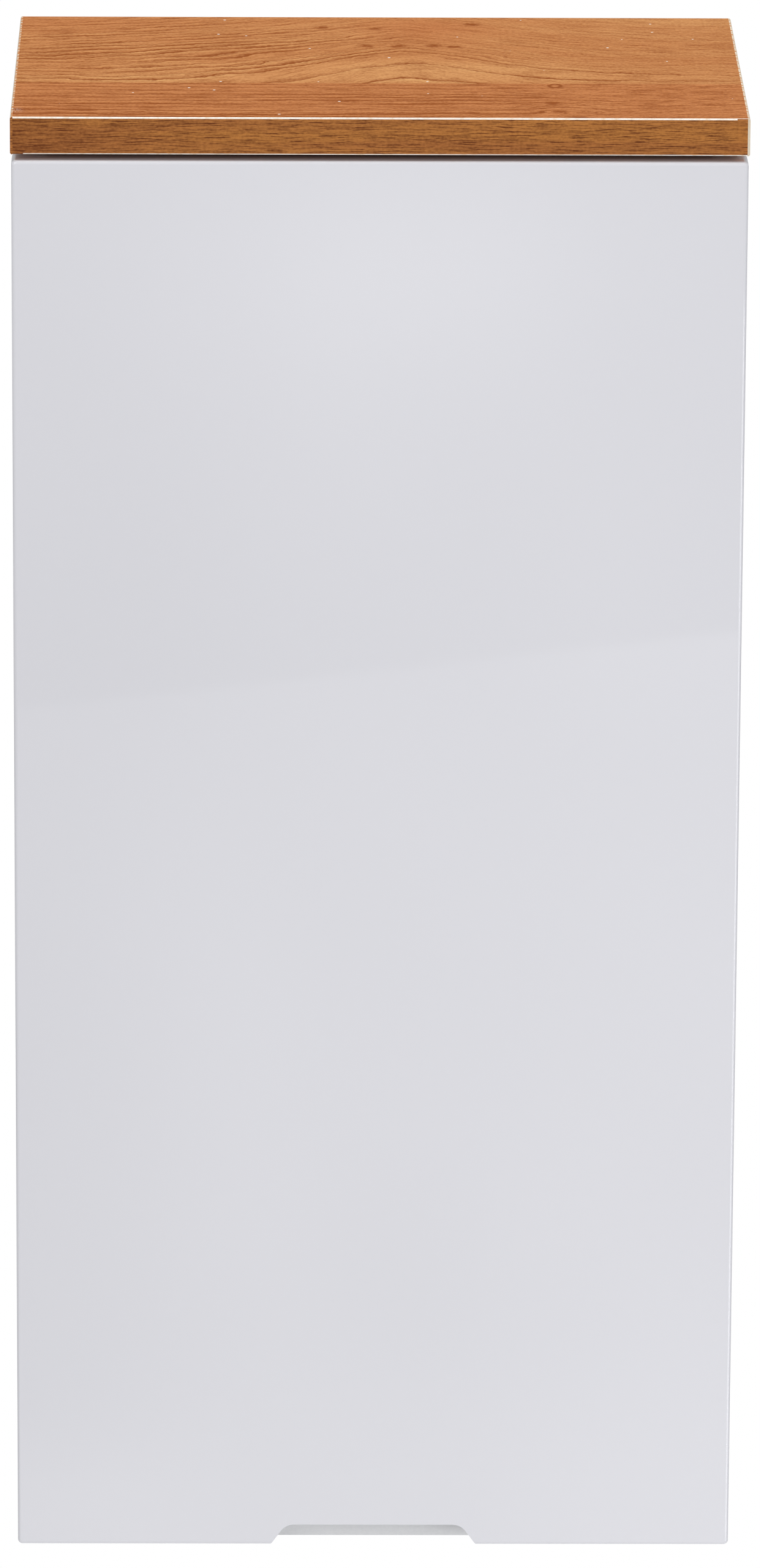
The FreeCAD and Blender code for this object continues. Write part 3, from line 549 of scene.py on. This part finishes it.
def moulded(name, low, high, rough):
    """Moulded plastic with a fine eroded skin."""
    s = Surface(name)
    skin = s.even_noise(2600.0)
    cloud = s.even_noise(90.0)
    s.bump(skin, 0.00003)
    return s.finish(colour=s.blend((skin * 0.5 + cloud * 0.5).clip(), low, high), rough=rough + skin * 0.12)


def beech():
    s = Surface("beech")
    line = s.noise(s.x * 900.0, s.y * 900.0, s.z * 90.0, detail=3.0, rough=0.6)
    s.bump(line, 0.00008)
    return s.finish(colour=s.blend(line.rise(0.3, 0.7), beech_dark, beech_pale), rough=0.7 + line * 0.1)


def soft_clear():
    """Clear soft plastic with a milky body."""
    s = Surface("soft_clear")
    cloud = s.even_noise(900.0, detail=3.0)
    return s.finish(colour=s.blend(cloud, buffer_dim, buffer_bright), rough=0.18 + cloud * 0.15,
                    transmission=0.55, ior=1.47)


# the finish of every piece
paint(oak_top(), "top_board")
paint(oak_edging_front(), "top_edging_front")
paint(oak_edging_side(), "top_edging_left", "top_edging_right")
paint(white_board("white_board_upright", "x"), "side_panel_left", "side_panel_right")
paint(white_board("white_board_level", "z"), "bottom_panel", "shelf_lower", "shelf_upper")
paint(white_edging(), "side_edging_left", "side_edging_right", "bottom_edging",
      "shelf_edging_lower", "shelf_edging_upper")
paint(hardboard(), "back_panel")
paint(door_foil(), "door_panel")
paint(soft_clear(), "door_buffers")
paint(beech(), "dowels_top", "dowels_bottom")
paint(moulded("white_caps", cap_dim, cap_bright, rough=0.32), "cam_caps_top", "cam_caps_bottom")
paint(moulded("hanger_plastic", hanger_dim, hanger_bright, rough=0.38),
      "hanger_body_left", "hanger_body_right")

cast_zinc = metal("cast_zinc", cast_zinc_dark, cast_zinc_pale, rough=0.42, streak=0.1)
bright_zinc = metal("bright_zinc", bright_zinc_dark, bright_zinc_pale, rough=0.28, streak=0.5)
nickel = metal("nickel", nickel_dark, nickel_pale, rough=0.20, streak=0.3)
screw_steel = metal("screw_steel", steel_dark, steel_pale, rough=0.26, streak=0.2)
paint(cast_zinc, "cam_locks_top", "cam_locks_bottom")
paint(bright_zinc, "cam_bolts_top", "cam_bolts_bottom", "wall_plate_left", "wall_plate_right",
      "hanger_hook_left", "hanger_hook_right", "hanger_adjusters")
paint(nickel, "shelf_pins_lower", "shelf_pins_upper")
paint(screw_steel, "hanger_fixing_screws")
for level in ("lower", "upper"):
    stem = "hinge_" + level + "_"
    paint(nickel, stem + "cup", stem + "rear_link", stem + "arm")
    paint(cast_zinc, stem + "front_link", stem + "plate")
    paint(screw_steel, stem + "cup_pins", stem + "arm_pins", stem + "cup_screws", stem + "arm_screws",
          stem + "plate_screws")

# curved faces shade smoothly, corners stay crisp
crisp_from = math.radians(28)
for node in nodes.values():
    for polygon in node.data.polygons:
        polygon.use_smooth = True
    node.data.set_sharp_from_angle(angle=crisp_from)


# stage: a pale floor that looks white to the camera and shows a painted reflection to the gloss, and a card
# that only the gloss mirrors

def pale_floor():
    """Takes shadows, looks white and isn't there for a camera underneath; to gloss rays it is a painted
    reflection, brighter towards the cabinet and darker in a strip on the left nearer the camera.
    """
    s = Surface("pale_floor")
    bright_from, bright_to = -4.5, -4.0
    dim_from_x, dim_to_x = 0.0, -0.32
    dim_from_y, dim_to_y = -3.9, -4.3
    s.finish(colour=grey(0.86), rough=0.9)
    # painted reflection: gloss rays see a brighter band towards the cabinet and a darker strip on the left
    mirrored = s.node("ShaderNodeLightPath", {}, {}, "Is Glossy Ray")
    near = s.blend(mirrored * s.y.rise(bright_from, bright_to), grey(1.0), grey(1.35))
    painted_reflection_dark_strip = mirrored * s.x.rise(dim_from_x, dim_to_x) * s.y.rise(dim_from_y, dim_to_y)
    shade = s.blend(painted_reflection_dark_strip, near, grey(0.62))
    white = s.node("ShaderNodeEmission", {}, {"Color": shade, "Strength": 1.0}, 0)
    plain = Value(s, s.shader.outputs[0])
    above = s.shown_to(("Is Camera Ray", "Is Glossy Ray", "Is Transmission Ray"), white, plain)
    underneath = s.node("ShaderNodeNewGeometry", {}, {}, "Backfacing")
    nothing = s.node("ShaderNodeBsdfTransparent", {}, {}, 0)
    return s.finish_with(s.node("ShaderNodeMixShader", {}, {0: underneath, 1: above, 2: nothing}, 0))


def mirrored_card():
    """A dim card that glows for gloss rays only, with a painted patch of lamp light low on it, seen as a
    painted reflection.
    """
    s = Surface("mirrored_card")
    painted_lamp_patch = s.x.hill(0.10, half=0.24) * s.z.hill(-0.93, half=0.14)
    light = s.blend(s.x.hill(0.12, half=0.33) * 0.22 + painted_lamp_patch * 0.45 + 0.08, grey(0.0), grey(1.0))
    glow = s.node("ShaderNodeEmission", {}, {"Color": light, "Strength": 2.0}, 0)
    nothing = s.node("ShaderNodeBsdfTransparent", {}, {}, 0)
    return s.finish_with(s.shown_to(("Is Glossy Ray",), glow, nothing))


def sheet(name, corners, material):
    mesh = bpy.data.meshes.new(name)
    mesh.from_pydata(corners, [], [(0, 1, 2, 3)])
    mesh.materials.append(material)
    holder = bpy.data.objects.new(name, mesh)
    bpy.context.scene.collection.objects.link(holder)


floor_centre = Vector((1.63, -2.88, -1.4))
floor_turn = math.radians(-22)
floor_half_length = 5.0
floor_depth_share = 0.82
card_height = Vector((0.0, 0.0, 1.6))
lengthwise = Vector((math.cos(floor_turn), math.sin(floor_turn), 0.0)) * floor_half_length
depthwise = Vector((-lengthwise.y, lengthwise.x, 0.0)) * floor_depth_share
signs = ((-1, -1), (1, -1), (1, 1), (-1, 1))
corners = [floor_centre + lengthwise * i + depthwise * j for i, j in signs]
near_edge = corners[:2]
sheet("floor", corners, pale_floor())
sheet("card", near_edge + [point + card_height for point in reversed(near_edge)], mirrored_card())


# a dim even room, white where the camera sees past the floor
world = bpy.data.worlds.new("room")
bpy.context.scene.world = world
world.use_nodes = True
room = Tree(world.node_tree)
room_tint = (0.96, 0.98, 1.0, 1.0)
room_strength = 0.42
dim_light = room.tree.nodes["Background"]
room.feed(dim_light.inputs["Color"], room_tint)
room.feed(dim_light.inputs["Strength"], room_strength)
dim = Value(room, dim_light.outputs[0])
white = room.node("ShaderNodeBackground", {}, {"Color": grey(1.0), "Strength": 1.0}, 0)
room.feed(room.tree.nodes["World Output"].inputs["Surface"], room.shown_to(("Is Camera Ray",), white, dim))


def soft_lamp(name, place, aim, size, power, colour):
    light = bpy.data.lights.new(name, "AREA")
    light.shape = "RECTANGLE"
    light.size, light.size_y = size
    light.energy = power
    light.color = colour
    holder = bpy.data.objects.new(name, light)
    bpy.context.scene.collection.objects.link(holder)
    holder.location = place
    holder.rotation_mode = "QUATERNION"
    holder.rotation_quaternion = (Vector(aim) - Vector(place)).to_track_quat("-Z", "Y")
    return holder


warm_white = (1.0, 0.995, 0.985)
cool_white = (0.97, 0.985, 1.0)
plain_white = (1.0, 1.0, 1.0)
soft_lamp("soft_front", place=(-1.6, -3.4, 2.3), aim=(0, 0, 0.35),
          size=(2.2, 2.2), power=56.0, colour=warm_white)
soft_lamp("soft_right", place=(1.2, -1.2, -0.15), aim=(0, 0, 0.3),
          size=(0.8, 0.8), power=7.2, colour=cool_white)
soft_lamp("soft_top", place=(0.1, -0.3, 3.0), aim=(0, 0, 0.6),
          size=(2.0, 1.6), power=29.0, colour=plain_white)
behind = soft_lamp("soft_back", place=(1.3, 2.4, 2.3), aim=(0, 0, 0.4),
                   size=(1.8, 1.8), power=36.0, colour=warm_white)
behind.visible_glossy = False


# camera, fitted to the board's and the door's corners
eye = Vector((-0.0535, -4.9424, 1.8103))
yaw = math.radians(0.652)
pitch = math.radians(16.361)
roll = math.radians(0.297)
focal_length = 240.24
sensor_width = 36.0
ahead = Vector((math.sin(yaw) * math.cos(pitch), math.cos(yaw) * math.cos(pitch), -math.sin(pitch)))
right = Vector((math.cos(yaw), -math.sin(yaw), 0.0))
up = right.cross(ahead)
turned_right = right * math.cos(roll) + up * math.sin(roll)
turned_up = up * math.cos(roll) - right * math.sin(roll)
lens = bpy.data.cameras.new("camera")
lens.lens = focal_length
lens.sensor_width = sensor_width
camera = bpy.data.objects.new("camera", lens)
bpy.context.scene.collection.objects.link(camera)
camera.matrix_world = Matrix((
    (turned_right.x, turned_up.x, -ahead.x, eye.x),
    (turned_right.y, turned_up.y, -ahead.y, eye.y),
    (turned_right.z, turned_up.z, -ahead.z, eye.z),
    (0.0, 0.0, 0.0, 1.0)))
bpy.context.scene.camera = camera
bpy.context.scene.view_settings.view_transform = "Standard"
